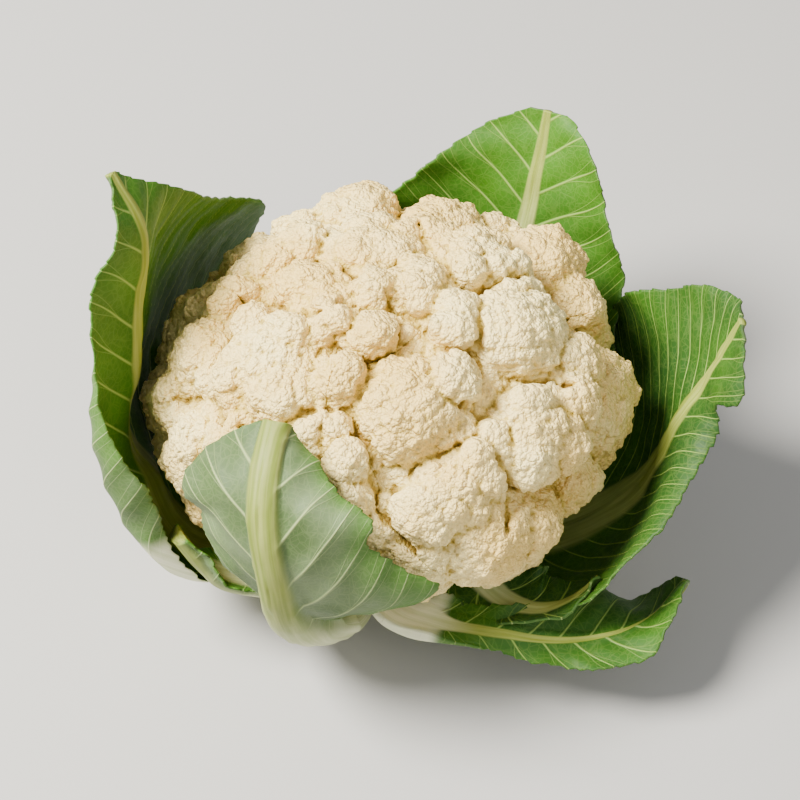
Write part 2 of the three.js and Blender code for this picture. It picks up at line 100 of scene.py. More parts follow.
# Three sizes of knob cover the curd: how many, radius, the share of it that stands out, and seed. They
# go down to an elevation. Their disorder is along and round their spiral, and in size.
LAYERS = [
    dict(count=560, size=5.4, stand=0.22, seed=3),
    dict(count=3400, size=2.3, stand=0.32, seed=11),
    dict(count=21000, size=1.05, stand=0.62, seed=23),
]
LAYER_LOWEST = -38
LAYER_START, LAYER_SHIFT, LAYER_SPIN = 0.1, 0.8, 1.2
LAYER_LEAST, LAYER_SPREAD = 0.7, 0.55

# Branches from the florets down to the stalk: radius, the share of it at the floret, the share that is
# lost on the way, and the step between balls. They end round a foot.
BRANCH_RADIUS, BRANCH_START, BRANCH_TAPER, BRANCH_STEP = 6.5, 1.15, 0.3, 3
BRANCH_FOOT = np.array([0.0, 0.0, 40.0])
BRANCH_SPREAD = 8

# Cells over which fullness is blurred, for the painted shade in small hollows and in deep creases.
NEAR_CELLS, WIDE_CELLS = 2, 4
PIECE_TRIANGLES = 190000

# The curd is three groups of masses that meet in the grooves, and overlap a little: names, and the
# azimuth where each sector begins.
SECTORS = [("back", 30.0), ("left", 150.0), ("right", 270.0)]
SECTOR_OVERLAP = 0.06

# Grooves between the masses and between the florets: depth and width of each part, how far out a ball
# claims the room round it, and how fast a groove fades there.
MASS_GROOVE = [(2.6, 6.5), (2.4, 1.5)]
FLORET_GROOVE = [(0.8, 1.3)]
CLAIM_REACH = 9.0
CLAIM_FADE = 3

# Gaps between florets: azimuth, elevation and radius of shafts that point at the head's middle, and
# between which shares of its reach they run.
GAPS = [
    (268, 31.5, 2.6), (268.7, 29.5, 2.6), (269, 27, 2.2), (269.3, 24, 1.6), (302.5, 45, 1.6), (305, 43, 2.0),
    (307.5, 41, 2.2), (310.5, 39.7, 2.0), (314, 38.8, 1.5),
]
GAP_FROM, GAP_TO, GAP_STEP = 0.87, 1.08, 0.015

# Leaves, as their solids have them: midrib points as azimuth, reach and height, half-widths left and
# right of it, lean, cup and roll of the section on each side, ruffle, and the rib's size. After those
# come the grid of points, tone, paleness of both faces and where it ends, and the side veins' spacing,
# slant and curve. A slim leaf's rib looks narrower past its stalk.
RIB = [15, 14, 12, 9, 6, 4, 3, 2.2, 1.6]
RIB_DEPTH = [10, 10, 9, 7, 5, 3.5, 2.5, 1.8, 1.2]
NONE = ([0], [0])
LEAVES = [
    dict(
        name="leaf_front",
        path=[(244, 18, 20), (244, 44, 20), (244.5, 61, 26), (245.5, 79, 48), (246, 90, 82),
              (242.5, 85, 107), (235.5, 63, 121)],
        left=[13, 13, 13, 13, 13, 13, 13, 14, 24, 52, 42, 33, 36, 27, 17, 6],
        right=[15, 16, 16, 16, 15, 15, 18, 28, 31, 32, 30, 8],
        lean=NONE, cup=([25, 35, 50, 50], [25, 25, 30, 30]), roll=NONE, ruffle=(2, 3, 0.1),
        rib=[15, 16, 17, 16, 11, 7.5, 6, 5.5, 5, 4.5],
        depth=[10, 11, 12, 12, 10, 7, 5, 4, 3.5, 3],
        grid=(170, 40), tone=0.55, pale=(0.2, 0.6), pale_run=(0.4, 0.62), veins=(17, 1.15, 0.004),
    ),
    dict(
        name="leaf_left",
        path=[(205, 18, 25), (205, 48, 20), (200, 75, 31), (190, 84, 66), (182, 82, 114), (177, 78, 146),
              (172, 88, 165)],
        left=[14, 15, 17, 30, 46, 48, 30, 22, 12, 3],
        right=[14, 16, 24, 42, 74, 114, 86, 45, 20, 3],
        lean=([0, -30, -45, -40, -20], [0]), cup=([30, 50, 40, 10, 0], [25, 40, 50, 30]),
        roll=([0, 60, 130, 0, 0], [0]), ruffle=(3, 2, 0.1),
        rib=RIB, depth=RIB_DEPTH,
        grid=(170, 46), tone=0.62, pale=(0.0, 1.0), pale_run=(0.36, 0.5), veins=(15, 0.95, 0.004),
    ),
    dict(
        name="leaf_right",
        path=[(349, 18, 14), (347, 54, 12), (351, 84, 36), (356, 97, 68), (358, 106, 90), (359, 113, 112)],
        left=[16, 18, 32, 56, 70, 66, 53, 42, 30, 12],
        right=[16, 18, 37, 58, 56, 40, 25, 18, 27, 16],
        lean=NONE, cup=([25, 40, 45, 20], [25, 30, 20, 0]), roll=([0], [0, 0, -60, -60]),
        ruffle=(3.5, 2, 0.6),
        rib=RIB, depth=RIB_DEPTH,
        grid=(150, 46), tone=0.2, pale=(0.1, 0.7), pale_run=(0.25, 0.6), veins=(9.5, 1.0, 0.004),
    ),
    dict(
        name="leaf_low_right",
        path=[(270, 18, 35), (268, 42, 32), (271, 59, 34), (284, 69, 34), (298, 79, 32), (312, 92, 27),
              (323, 104, 28), (333, 110, 36)],
        left=[12, 12, 13, 15, 14, 12, 12, 17, 28, 23, 8],
        right=[12, 11, 9, 7.5, 6.5, 6, 8, 12, 16, 13, 5],
        lean=NONE, cup=([25, 20, 0, 0], [25, 20, 0, 0]), roll=NONE, ruffle=(2, 3, 0.2),
        rib=[12, 11, 9, 7.5, 6, 5, 4, 3, 2.4, 2, 1.6],
        depth=[8, 8, 8, 7, 6, 5, 3.5, 2.5, 1.8, 1.5, 1.2],
        grid=(150, 26), tone=0.3, pale=(1.0, 1.0), pale_run=(0.36, 0.52), veins=(11, 0.9, 0.006),
        slim=1.6,
    ),
    dict(
        name="leaf_back_right",
        path=[(62, 18, 16), (62, 54, 11), (62, 84, 32), (60, 92, 62), (60, 102, 91), (61, 112, 111)],
        left=[16, 20, 38, 56, 66, 62, 52, 39, 26, 9],
        right=[16, 20, 34, 50, 56, 54, 47, 36, 25, 9],
        lean=NONE, cup=([25, 40, 45, 30], [25, 40, 35, 20]), roll=NONE, ruffle=(4, 2.5, 0.3),
        rib=RIB, depth=RIB_DEPTH,
        grid=(150, 46), tone=0.62, pale=(0.5, 0.8), pale_run=(0.25, 0.85), veins=(14, 0.75, 0.005),
    ),
    dict(
        name="leaf_inner_left",
        path=[(228, 18, 40), (227, 44, 33), (225, 61, 30), (221, 74, 36), (217, 81, 47), (214, 83, 58)],
        left=[9, 10, 11, 12, 12, 12, 12, 10, 6],
        right=[9, 10, 11, 12, 12, 12, 12, 10, 6],
        lean=NONE, cup=([25, 20, 20, 20], [25, 20, 20, 20]), roll=NONE, ruffle=(1.5, 3, 0.5),
        rib=[9, 10, 10, 9, 8, 7, 6, 6, 5],
        depth=[6, 7, 7, 6, 5, 4, 3, 3, 3],
        grid=(80, 20), tone=0.5, pale=(0.7, 0.9), pale_run=(0.25, 0.85), veins=(12, 0.7, 0.006),
    ),
    dict(
        name="leaf_inner_right",
        path=[(302, 18, 40), (302, 44, 35), (303, 63, 32), (307, 77, 35), (314, 84, 38), (322, 87, 42)],
        left=[9, 10, 12, 15, 18, 20, 18, 14, 6],
        right=[9, 11, 15, 15, 12, 10, 10, 9, 5],
        lean=NONE, cup=([25, 20, 20, 20], [25, 20, 20, 20]), roll=NONE, ruffle=(1.5, 3, 0.5),
        rib=[9, 8, 6.5, 5, 4, 3, 2.4, 2, 1.6],
        depth=[6, 6, 5.5, 5, 4, 3, 2, 1.8, 1.2],
        grid=(80, 20), tone=0.0, pale=(0.4, 0.6), pale_run=(0.25, 0.85), veins=(12, 0.7, 0.006),
    ),
    dict(
        name="leaf_back",
        path=[(113, 18, 14), (113, 50, 11), (113, 76, 22), (112, 88, 44), (111, 92, 62)],
        left=[16, 18, 24, 34, 38, 34, 20],
        right=[16, 18, 22, 30, 34, 30, 18],
        lean=NONE, cup=([25, 35, 40, 40], [25, 35, 40, 40]), roll=NONE, ruffle=(3, 3, 0.4),
        rib=[15, 15, 14, 12, 9, 7, 6],
        depth=[10, 10, 9, 7, 6, 5, 4],
        grid=(90, 32), tone=0.55, pale=(0.4, 0.7), pale_run=(0.25, 0.85), veins=(12, 0.7, 0.006),
    ),
    dict(
        name="leaf_stub_right",
        path=[(22, 18, 38), (22, 42, 33), (22, 58, 29), (22, 70, 33), (22, 78, 43)],
        left=[10, 11, 12, 13, 13, 8],
        right=[10, 11, 12, 13, 13, 8],
        lean=NONE, cup=([25, 20, 20, 20], [25, 20, 20, 20]), roll=NONE, ruffle=(1.5, 3, 0.2),
        rib=[10, 10, 9, 8, 6, 5],
        depth=[6, 7, 7, 6, 5, 4],
        grid=(70, 18), tone=0.4, pale=(0.5, 0.8), pale_run=(0.25, 0.85), veins=(12, 0.7, 0.006),
    ),
    dict(
        name="leaf_stub_back_left",
        path=[(162, 18, 14), (162, 48, 11), (161, 72, 17), (160, 85, 32), (160, 92, 46)],
        left=[14, 15, 17, 19, 19, 12],
        right=[14, 15, 17, 20, 20, 13],
        lean=NONE, cup=([25, 30, 30, 30], [25, 30, 30, 30]), roll=NONE, ruffle=(1.5, 3, 0.8),
        rib=[14, 14, 12, 10, 8, 6],
        depth=[9, 9, 8, 7, 6, 5],
        grid=(80, 22), tone=0.5, pale=(0.5, 0.8), pale_run=(0.25, 0.85), veins=(12, 0.7, 0.006),
    ),
]

# The blade's thickness, the share of it at the margin, the rib's depth inside and outside, the least
# room between leaf and head and the softness of that limit, and how a section bends and rolls.
BLADE = 1.4
MARGIN_THIN = 0.45
MARGIN_POWER = 1.5
RIB_INSIDE = 0.12
RIB_OUTSIDE = 0.88
CLEAR = 2.0
BLEND = 4.0
BEND_STEPS = 24
ROLL_START = 0.45
ROLL_POWER = 1.5
MIDRIB_STEP = 0.01

# The share of the length over which a slim leaf's rib begins to look narrower.
SLIM_RUN = (0.38, 0.5)

# Columns of points: the share that lies over the rib, and the most of the width that those may take.
RIB_COLUMNS = 0.3
RIB_SPAN = 0.75

# Ruffles grow from a share of the length on. The long wave and the short one have a power, a lag
# between the two sides, and the short one its share of the height and its waves for each long one.
RUFFLE_FROM, RUFFLE_GROW = 0.15, 0.35
LONG_POWER, LONG_LAG = 2.2, 1.1
SHORT_SHARE, SHORT_POWER, SHORT_WAVES, SHORT_LAG = 0.4, 3, 2.7, 2

# Teeth of the margins, depth and length in millimetres, where the blade is wider than its rib.
WAVE_DEPTH, WAVE_LENGTH = 1.6, 9
SAW_DEPTH, SAW_LENGTH, SAW_WANDER = 1.1, 4.4, 7
NICK_DEPTH, NICK_LENGTH = 0.5, 2
BLADE_OPENS = (1.05, 1.6)

# How the side veins wander, how far those on the left and those of the next leaf are shifted, as a
# share of their spacing, and what keeps their count above zero.
DRIFT, DRIFT_RUN, DRIFT_ACROSS, DRIFT_GROWS = 7, 38, 30, (0, 25)
LEFT_SHIFT, LEAF_SHIFT, FIRST_VEIN = 0.45, 0.37, 20

# Relief of the veins on both faces of a blade, and how much the blade rises between them. Both begin
# at some number of half-widths of the rib.
VEIN_RELIEF_INSIDE = 0.3
VEIN_RELIEF_OUTSIDE = 0.7
VEIN_HALF_WIDTH = 1.3
VEIN_FADE = 0.75
VEIN_BEGINS = (0.5, 1.1)
PUCKER, PUCKER_HALF_WIDTH = 0.55, 3.2
PUCKER_BEGINS = (1, 2.5)
SWELL, SWELL_RUN, SWELL_ACROSS = 1.1, 9, 8

# Seeds of the noise on the left and on the right of a leaf, and of each leaf.
DRIFT_SEEDS, SWELL_SEEDS, TEETH_SEEDS = (0.5, 21.5), (2.5, 33.5), (3, 8)
LEAF_TEETH_SEED, LEAF_FIBRE_SEED = 17, 4

# What sets the two faces and the leaves apart in the patterns of their material.
FACE_OFFSET, LEAF_OFFSET = 9, 40

# Fibres along a stalk: depth, spacing, wander and the length of it.
FIBRE_DEPTH, FIBRE_SPACING, FIBRE_WANDER, FIBRE_RUN = 0.22, 3.1, 1.5, 25

# The cut stalk: radius and height along its outline, grooves as depth, number round it, twist and lag,
# how far they sink into the side, and the heights between which they fade in and out.
STALK_TOP = 36
STALK = [
    (0, 0), (20.5, 0), (22, 0.5), (23.4, 2), (24.6, 5), (25.5, 9),
    (26.4, 14), (27, 20), (27, 32), (24, STALK_TOP), (0, STALK_TOP),
]
STALK_SIDES = 96
STALK_RINGS = 60
STALK_GROOVES = [(0.35, 11, 0.05, 0), (0.25, 23, 0, 1)]
STALK_SINK = 0.6
GROOVE_START = (0.5, 4)
GROOVE_END = (STALK_TOP, 30)

# The camera looks down on the head from the front, as the picture was taken.
CAMERA_TARGET = np.array([2.4, 0.0, 70.0])
CAMERA_ELEVATION = 50.0
CAMERA_DISTANCE = 800.0
CAMERA_LENS = 106.6
SENSOR = 36.0

# Lights, as name, place and width in metres, power and colour, then the sky and the floor.
LIGHTS = [
    ("key", (-0.75, -0.1, 1.15), 0.6, 84, (1.0, 0.965, 0.88)),
    ("fill", (0.75, -0.9, 0.9), 1.2, 8, (1.0, 0.96, 0.9)),
]
SKY_COLOUR = (0.95, 0.97, 1.0, 1)
SKY_STRENGTH = 0.5
FLOOR_COLOUR = (0.40, 0.395, 0.385, 1)
FLOOR_HALF = 3000.0


def hashed(a, b):
    """A number from 0 to 1 for each pair, the same one every time."""
    wave = np.sin(np.asarray(a, float) * HASH_FIRST + b * HASH_SECOND) * HASH_SPREAD
    return wave - np.floor(wave)


def noise_line(x, seed):
    """Smooth random values from 0 to 1 along a line."""
    cell = np.floor(x)
    f = x - cell
    f = f * f * (3 - 2 * f)
    return hashed(cell, seed) * (1 - f) + hashed(cell + 1, seed) * f


def noise_sheet(x, y, seed):
    """Smooth random values from 0 to 1 over a plane."""
    row = np.floor(y)
    f = y - row
    f = f * f * (3 - 2 * f)
    return noise_line(x, seed + row * ROW_SEED) * (1 - f) + noise_line(x, seed + (row + 1) * ROW_SEED) * f


def smooth(low, high, x):
    """Rises softly from 0 to 1 between two limits."""
    f = np.clip((x - low) / (high - low), 0, 1)
    return f * f * (3 - 2 * f)


def direction(azimuth, elevation):
    """Unit way from the middle of the head."""
    a, e = np.radians(azimuth), np.radians(elevation)
    return np.stack([np.cos(e) * np.cos(a), np.cos(e) * np.sin(a), np.sin(e)], -1)


def outside(d):
    """Distance from the middle of the head to its smooth outside."""
    height = np.where(d[..., 2] > 0, TOP, BELOW)
    swell = 1.0
    for azimuth, elevation, share, width in LUMPS:
        angle = np.degrees(np.arccos(np.clip(d @ direction(azimuth, elevation), -1, 1)))
        swell = swell + share * np.exp(-(angle / width) ** 2)
    return swell / np.sqrt((d[..., 0] / SIDE) ** 2 + (d[..., 1] / DEPTH) ** 2 + (d[..., 2] / height) ** 2)


def along(values, t):
    """A smooth curve through evenly spaced values."""
    v = np.asarray(values, float)
    last = len(v) - 1
    if last == 0:
        return np.full(np.shape(t), v[0])
    x = np.clip(t, 0, 1) * last
    i = np.minimum(x.astype(int), last - 1)
    f = x - i
    a, b, c, d = v[np.maximum(i - 1, 0)], v[i], v[i + 1], v[np.minimum(i + 2, last)]
    bend = (2 * a - 5 * b + 4 * c - d) * f ** 2
    turn = (3 * b - a - 3 * c + d) * f ** 3
    return 0.5 * (2 * b + (c - a) * f + bend + turn)


def mesh_object(name, points, faces, body="root"):
    """Points in millimetres and faces as a smooth shaded mesh object that rides on a body."""
    mesh = bpy.data.meshes.new(name)
    mesh.from_pydata((np.asarray(points) * MM).tolist(), [], [list(map(int, f)) for f in faces])
    mesh.validate()
    mesh.update()
    mesh.shade_smooth()
    piece = bpy.data.objects.new(name, mesh)
    bpy.context.scene.collection.objects.link(piece)
    if body:
        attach(piece, body)
    return piece


def point_numbers(piece, name, values):
    """Stores three numbers at every point of a mesh, for its material to read."""
    layer = piece.data.attributes.new(name, "FLOAT_VECTOR", "POINT")
    layer.data.foreach_set("vector", np.ascontiguousarray(values, np.float32).ravel())


# The curd

def florets():
    """Rows of direction, radius and reach: the florets seen from the front, then a spiral of others."""
    found = [(direction(a, e), r, reach) for a, e, r, reach in FLORETS]
    open_places = [(direction(a, e), math.radians(size)) for a, e, size in CREVICES]
    lowest = math.sin(math.radians(FILL["lowest"]))
    for i in range(FILL["tries"]):
        z = 1 - (i + 0.5) * (1 - lowest) / FILL["tries"]
        d = direction(math.degrees(i * GOLDEN_ANGLE), math.degrees(math.asin(z)))
        radius = FILL["smallest"] + (FILL["largest"] - FILL["smallest"]) * float(hashed(i, 1))
        apart = outside(d) * np.array([math.acos(min(1, float(d @ f[0]))) for f in found])
        free = apart > FILL["spacing"] * np.array([own_radius(f[1]) + own_radius(radius) for f in found])
        shoulder = FILL["shoulder"] * radius / outside(d)
        open_here = all(math.acos(min(1, float(d @ c))) > size + shoulder for c, size in open_places)
        if free.all() and open_here:
            found.append((d, radius, FILL["reach"]))
    return found


def own_radius(radius):
    """A floret's own ball, inside the knobs that the solid gives it."""
    knob = min(max(KNOB_SHARE * radius, KNOB_LEAST), KNOB_MOST)
    return radius - KNOB_STAND * knob


class Grid:
    """Distances to the curd's surface on a grid round the head."""

    def __init__(self):
        reach = np.array([SIDE, DEPTH, TOP]) + GRID_MARGIN
        self.low = MIDDLE - np.array([reach[0], reach[1], BELOW + GRID_MARGIN])
        self.shape = tuple(np.ceil((MIDDLE + reach - self.low) / VOXEL).astype(int) + 1)
        self.axes = [self.low[k] + VOXEL * np.arange(self.shape[k]) for k in range(3)]
        self.values = np.full(self.shape, BAND, np.float32)

    def part(self, low, high):
        """The cells between two corners, as slices, and their places along each axis."""
        first = np.maximum(np.floor((low - self.low) / VOXEL).astype(int), 0)
        last = np.minimum(np.ceil((high - self.low) / VOXEL).astype(int) + 1, self.shape)
        spans = tuple(slice(a, b) for a, b in zip(first, last))
        return spans, [axis[s] for axis, s in zip(self.axes, spans)]

    def distance(self, centre, radius, margin):
        """Distances to a ball, in the cells within some margin of it."""
        spans, (x, y, z) = self.part(centre - radius - margin, centre + radius + margin)
        far = np.sqrt((x[:, None, None] - centre[0]) ** 2 + (y[None, :, None] - centre[1]) ** 2
                      + (z[None, None, :] - centre[2]) ** 2) - radius
        return spans, far.astype(np.float32)

    def ball(self, centre, radius):
        """Adds a ball to the curd."""
        spans, far = self.distance(centre, radius, BAND)
        self.values[spans] = np.minimum(self.values[spans], far)

    def hole(self, centre, radius):
        """Takes a ball away from the curd."""
        spans, far = self.distance(centre, radius, BAND)
        self.values[spans] = np.maximum(self.values[spans], np.minimum(-far, BAND))

    def cut_grooves(self, balls, profile):
        """Lowers the surface where the nearest two balls are about as far away."""
        nearest = np.full(self.shape, CLAIM_REACH, np.float32)
        second = nearest.copy()
        for centre, radius in balls:
            spans, far = self.distance(centre, radius, CLAIM_REACH)
            second[spans] = np.minimum(second[spans], np.maximum(nearest[spans], far))
            nearest[spans] = np.minimum(nearest[spans], far)
        between = second - nearest
        close = np.minimum(CLAIM_FADE * (1 - second / CLAIM_REACH), 1)
        for deep, width in profile:
            self.values += deep * np.exp(-(between / width) ** 2) * close

    def fill_valleys(self):
        """Fills what is nearly enclosed by the balls round it."""
        filled = (self.values < 0).astype(np.float32)
        wide = box_blur(box_blur(filled, VALLEY_CELLS), VALLEY_CELLS)
        self.values = np.minimum(self.values, (VALLEY_FILL - wide) * VALLEY_SLOPE)

    def surface(self, ways):
        """Where lines from the head's middle leave the curd, and the way out of its surface there."""
        full = outside(ways)
        found = full * CORE_SHARE
        before = np.full(len(ways), BAND)
        done = np.zeros(len(ways), bool)
        for share in np.arange(SEEK_FROM, CORE_SHARE, -SEEK_STEP):
            value = self.sample(self.values, MIDDLE + ways * (full * share)[:, None])
            hit = ~done & (value <= 0)
            back = SEEK_STEP * value / np.minimum(value - before, -LEAST_CHANGE)
            found[hit] = (full * (share + back))[hit]
            done |= hit
            before = value
        points = MIDDLE + ways * found[:, None]
        slopes = []
        for way in np.eye(3):
            ahead = self.sample(self.values, points + VOXEL * way)
            behind = self.sample(self.values, points - VOXEL * way)
            slopes.append(ahead - behind)
        normals = np.stack(slopes, -1) + SEEK_PULL * ways
        return points, normals / np.linalg.norm(normals, axis=-1, keepdims=True)

    def cover(self, count, size, stand, seed):
        """Sets balls into the surface all over, so that a share of each one's radius stands out."""
        lowest = math.sin(math.radians(LAYER_LOWEST))
        k = np.arange(count)
        z = 1 - (k + LAYER_START + LAYER_SHIFT * hashed(k, seed)) * (1 - lowest) / count
        spin = k * GOLDEN_ANGLE + seed + LAYER_SPIN * (hashed(k, seed + 1) - 0.5) / math.sqrt(count)
        ways = direction(np.degrees(spin), np.degrees(np.arcsin(z)))
        points, normals = self.surface(ways)
        sizes = size * (LAYER_LEAST + LAYER_SPREAD * hashed(k, seed + 2))
        centres = points + normals * (sizes * (stand - 1))[:, None]
        for centre, radius in zip(centres, sizes):
            self.ball(centre, radius)

    def core(self):
        """Fills the head solid up to a share of its smooth outside."""
        x, y, z = self.axes
        p = np.stack(np.meshgrid(x, y, z, indexing="ij"), -1) - MIDDLE
        far = np.linalg.norm(p, axis=-1)
        reach = outside(p / np.maximum(far, 1e-6)[..., None]) * CORE_SHARE
        self.values = np.minimum(self.values, (far - reach).astype(np.float32))

    def nearest_of(self, balls):
        """Distance to the nearest of some balls, at every place of the grid."""
        x, y, z = self.axes
        nearest = None
        for centre, radius in balls:
            flat = (x[:, None] - centre[0]) ** 2 + (y[None, :] - centre[1]) ** 2
            far = np.sqrt(flat.astype(np.float32)[:, :, None] + ((z - centre[2]) ** 2).astype(np.float32))
            far -= np.float32(radius)
            nearest = far if nearest is None else np.minimum(nearest, far)
        return nearest

    def polygons(self, values):
        """The surface where some values of the grid are zero: points, triangles and quads."""
        vdb = openvdb.FloatGrid(float(BAND))
        vdb.copyFromArray(np.clip(values, -BAND, BAND))
        vdb.transform = openvdb.createLinearTransform(voxelSize=VOXEL)
        points, triangles, quads = vdb.convertToPolygons(0.0, 0.0)
        return points + self.low, triangles[:, ::-1], quads[:, ::-1]

    def sample(self, values, points):
        """Values of the grid at any points, mixed from the eight cells round each."""
        at = np.clip((points - self.low) / VOXEL, 0, np.array(self.shape) - 1.001)
        cell = at.astype(int)
        f = at - cell
        total = 0
        for dx in (0, 1):
            for dy in (0, 1):
                for dz in (0, 1):
                    share = abs(1 - dx - f[:, 0]) * abs(1 - dy - f[:, 1]) * abs(1 - dz - f[:, 2])
                    total = total + share * values[cell[:, 0] + dx, cell[:, 1] + dy, cell[:, 2] + dz]
        return total


def box_blur(values, reach):
    """Mean over a box that reaches some cells each way."""
    for axis in range(3):
        pad = [(0, 0)] * 3
        pad[axis] = (reach + 1, reach)
        summed = np.cumsum(np.pad(values, pad, mode="edge"), axis=axis, dtype=np.float64)
        size = values.shape[axis]
        ahead = np.take(summed, np.arange(size) + 2 * reach + 1, axis=axis)
        behind = np.take(summed, np.arange(size), axis=axis)
        values = ((ahead - behind) / (2 * reach + 1)).astype(np.float32)
    return values


def branch(grid, start, end):
    """A row of balls from a floret down to the stalk."""
    steps = int(np.linalg.norm(end - start) / BRANCH_STEP) + 2
    for k in range(steps):
        f = k / (steps - 1)
        grid.ball(start + (end - start) * f, BRANCH_RADIUS * (BRANCH_START - BRANCH_TAPER * f))


def masses():
    """Rows of direction and radius: the masses seen from the front, then a spiral of others."""
    found = [(direction(a, e), r) for a, e, r in MASSES]
    lowest = math.sin(math.radians(MASS_FILL["lowest"]))
    radius = MASS_FILL["radius"]
    for i in range(MASS_FILL["tries"]):
        z = 1 - (i + 0.5) * (1 - lowest) / MASS_FILL["tries"]
        d = direction(math.degrees(i * GOLDEN_ANGLE), math.degrees(math.asin(z)))
        apart = outside(d) * np.array([math.acos(min(1, float(d @ m[0]))) for m in found])
        if (apart > MASS_FILL["spacing"] * np.array([m[1] + radius for m in found])).all():
            found.append((d, radius))
    return [(MIDDLE + d * (outside(d) - r), r - MASS_SHY) for d, r in found]


def grow_curd(mass_balls):
    """The curd's grid: florets and masses on branches, grooves between them, knobs and gaps."""
    grid = Grid()
    floret_balls = []
    for d, radius, reach in florets():
        centre = MIDDLE + d * (outside(d) * reach - radius)
        floret_balls.append((centre, own_radius(radius)))
        branch(grid, centre, BRANCH_FOOT + [BRANCH_SPREAD * d[0], BRANCH_SPREAD * d[1], 0])
    for centre, radius in floret_balls + mass_balls:
        grid.ball(centre, radius)
    grid.core()
    grid.fill_valleys()
    grid.cut_grooves(mass_balls, MASS_GROOVE)
    grid.cut_grooves(floret_balls, FLORET_GROOVE)
    grid.core()
    for layer in LAYERS:
        grid.cover(**layer)
    for azimuth, elevation, radius in GAPS:
        d = direction(azimuth, elevation)
        for reach in np.arange(GAP_FROM, GAP_TO, GAP_STEP):
            grid.hole(MIDDLE + d * outside(d) * reach, radius)
    return grid


def sector_reaches(grid, mass_balls):
    """For each sector, distances to the nearest mass that belongs to it."""
    starts = [start for _, start in SECTORS]
    around = [math.degrees(math.atan2(c[1] - MIDDLE[1], c[0] - MIDDLE[0])) % 360 for c, _ in mass_balls]
    members = [int(np.searchsorted(starts, a, side="right") - 1) % len(SECTORS) for a in around]
    return [grid.nearest_of([ball for ball, m in zip(mass_balls, members) if m == n])
            for n in range(len(SECTORS))]


def make_curd():
    """The curd as one closed piece for each sector."""
    mass_balls = masses()
    grid = grow_curd(mass_balls)
    # Fullness blurred near and wide, which the curd's material turns into painted shade in hollows and
    # creases.
    filled = (grid.values < 0).astype(np.float32)
    near = box_blur(filled, NEAR_CELLS)
    wide = box_blur(box_blur(filled, WIDE_CELLS), WIDE_CELLS)
    material = curd_material()
    reaches = sector_reaches(grid, mass_balls)
    for n, (name, _) in enumerate(SECTORS):
        others = np.minimum(*[r for m, r in enumerate(reaches) if m != n])
        part = np.maximum(grid.values, (reaches[n] - others) / 2 - SECTOR_OVERLAP)
        points, triangles, quads = grid.polygons(part)
        piece = mesh_object("curd_florets_" + name, points, quads.tolist() + triangles.tolist())
        form = [grid.sample(near, points), grid.sample(wide, points), np.zeros(len(points))]
        point_numbers(piece, "curd_form", np.stack(form, -1))
        piece.data.materials.append(material)
        count = len(triangles) + 2 * len(quads)
        if count > PIECE_TRIANGLES:
            fewer = piece.modifiers.new("fewer", "DECIMATE")
            fewer.ratio = PIECE_TRIANGLES / count
        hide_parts("curd")


# Leaves

def midrib(leaf, t):
    """Points along a leaf's middle, from the stalk at 0 to the tip at 1."""
    azimuth, reach, height = (along([p[k] for p in leaf["path"]], t) for k in range(3))
    a = np.radians(azimuth)
    return np.stack([reach * np.cos(a), reach * np.sin(a), height], -1)


def push_out(points, clear):
    """Keeps points at least a given distance outside the head, with a soft start."""
    d = points - MIDDLE
    reach = np.linalg.norm(d, axis=-1, keepdims=True)
    d = d / reach
    least = (outside(d) + clear)[..., None]
    h = np.clip(0.5 + 0.5 * (reach - least) / BLEND, 0, 1)
    return MIDDLE + d * (least * (1 - h) + reach * h + BLEND * h * (1 - h))


def blade(leaf, t, u, clear):
    """Points on the middle of the blade, at t from stalk to tip and u across, -1 right to 1 left."""
    forward = midrib(leaf, np.minimum(t + MIDRIB_STEP, 1)) - midrib(leaf, np.maximum(t - MIDRIB_STEP, 0))
    forward /= np.linalg.norm(forward, axis=-1, keepdims=True)
    azimuth = np.radians(along([p[0] for p in leaf["path"]], t))
    sideways = np.stack([-np.sin(azimuth), np.cos(azimuth), np.zeros_like(azimuth)], -1)
    inward = np.cross(forward, sideways)
    inward /= np.linalg.norm(inward, axis=-1, keepdims=True)
    across = np.cross(inward, forward)
    left = u >= 0
    sign = np.where(left, 1.0, -1.0)
    width = np.where(left, along(leaf["left"], t), along(leaf["right"], t))
    lean, cup, roll = (np.radians(np.where(left, along(leaf[k][0], t), along(leaf[k][1], t)))
                       for k in ("lean", "cup", "roll"))
    a = np.abs(u)
    x = np.zeros_like(a)
    y = np.zeros_like(a)
    for k in range(BEND_STEPS):
        f = (k + 0.5) / BEND_STEPS * a
        angle = lean + cup * f + roll * np.clip((f - ROLL_START) / (1 - ROLL_START), 0, 1) ** ROLL_POWER
        x += np.cos(angle) * a / BEND_STEPS
        y += np.sin(angle) * a / BEND_STEPS
    height, waves, phase = leaf["ruffle"]
    grow = np.clip((t - RUFFLE_FROM) / RUFFLE_GROW, 0, 1)
    long_turn = 2 * math.pi * (waves * t + phase) + sign * LONG_LAG
    short_turn = 2 * math.pi * (SHORT_WAVES * waves * t + 2 * phase) + sign * SHORT_LAG
    long_wave = a ** LONG_POWER * np.sin(long_turn)
    short_wave = SHORT_SHARE * a ** SHORT_POWER * np.sin(short_turn)
    points = midrib(leaf, t) + across * (sign * x * width)[..., None]
    points = points + inward * (y * width + height * grow * (long_wave + short_wave))[..., None]
    return push_out(points, clear), inward


def columns_across(leaf, t, columns):
    """Places across the blade, from -1 right to 1 left, closer together over the rib."""
    step = np.linspace(0, 1, columns + 1)
    half = []
    for side in ("right", "left"):
        share = np.minimum(along(leaf["rib"], t) / along(leaf[side], t), RIB_SPAN)[:, None]
        inner = step / RIB_COLUMNS * share
        outer = share + (step - RIB_COLUMNS) / (1 - RIB_COLUMNS) * (1 - share)
        half.append(np.where(step < RIB_COLUMNS, inner, outer))
    return np.concatenate([-half[0][:, ::-1], half[1][:, 1:]], 1)


